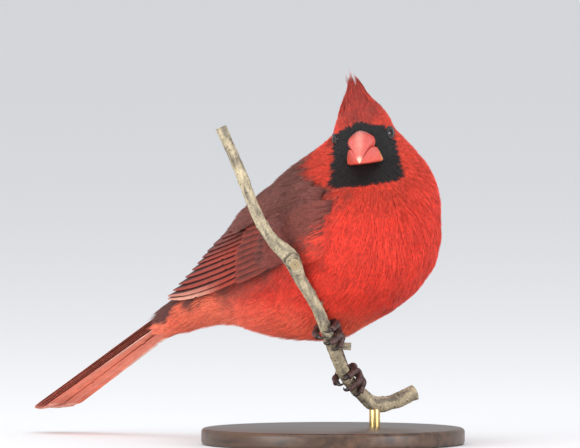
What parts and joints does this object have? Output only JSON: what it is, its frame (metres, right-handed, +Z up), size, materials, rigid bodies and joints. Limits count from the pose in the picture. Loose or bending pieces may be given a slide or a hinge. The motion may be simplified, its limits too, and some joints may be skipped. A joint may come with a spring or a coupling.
{
  "type": "model songbird on a perch",
  "caption": "Life-size still model of an adult male northern cardinal with a raised crest, gripping a crooked twig held up by a plain round display stand.",
  "frame": {"origin": "middle of the underside of the stand's round base", "axes": "+X the way the body heads, +Y the bird's left, +Z up; the head is turned to the bird's right"},
  "size_m": [0.1905, 0.1017, 0.1377],
  "materials": {
    "plumage_red": "soft body feathers, orange-red",
    "wing_red": "stiff flight feathers, dusky with red edges",
    "bill_coral": "horn, satin",
    "eye_dark": "wet, dark brown",
    "foot_brown": "scaly skin",
    "claw_dark": "dark horn",
    "bark": "rough bark with specks",
    "stand_wood": "dark turned wood, satin",
    "stand_brass": "brushed"
  },
  "bodies": {
    "root": {"head": "plumage_red", "neck": "plumage_red", "torso": "plumage_red", "wing_right": "wing_red", "wing_left": "wing_red", "tail": "wing_red", "bill_upper": "bill_coral", "bill_lower": "bill_coral", "eye_right": "eye_dark", "eye_left": "eye_dark", "leg_right": "foot_brown", "leg_left": "foot_brown", "claw_right_1": "claw_dark", "claw_right_2": "claw_dark", "claw_right_3": "claw_dark", "claw_right_4": "claw_dark", "claw_left_1": "claw_dark", "claw_left_2": "claw_dark", "claw_left_3": "claw_dark", "claw_left_4": "claw_dark", "perch": "bark", "stand_base": "stand_wood", "stand_rod": "stand_brass"}
  },
  "joints": []
}
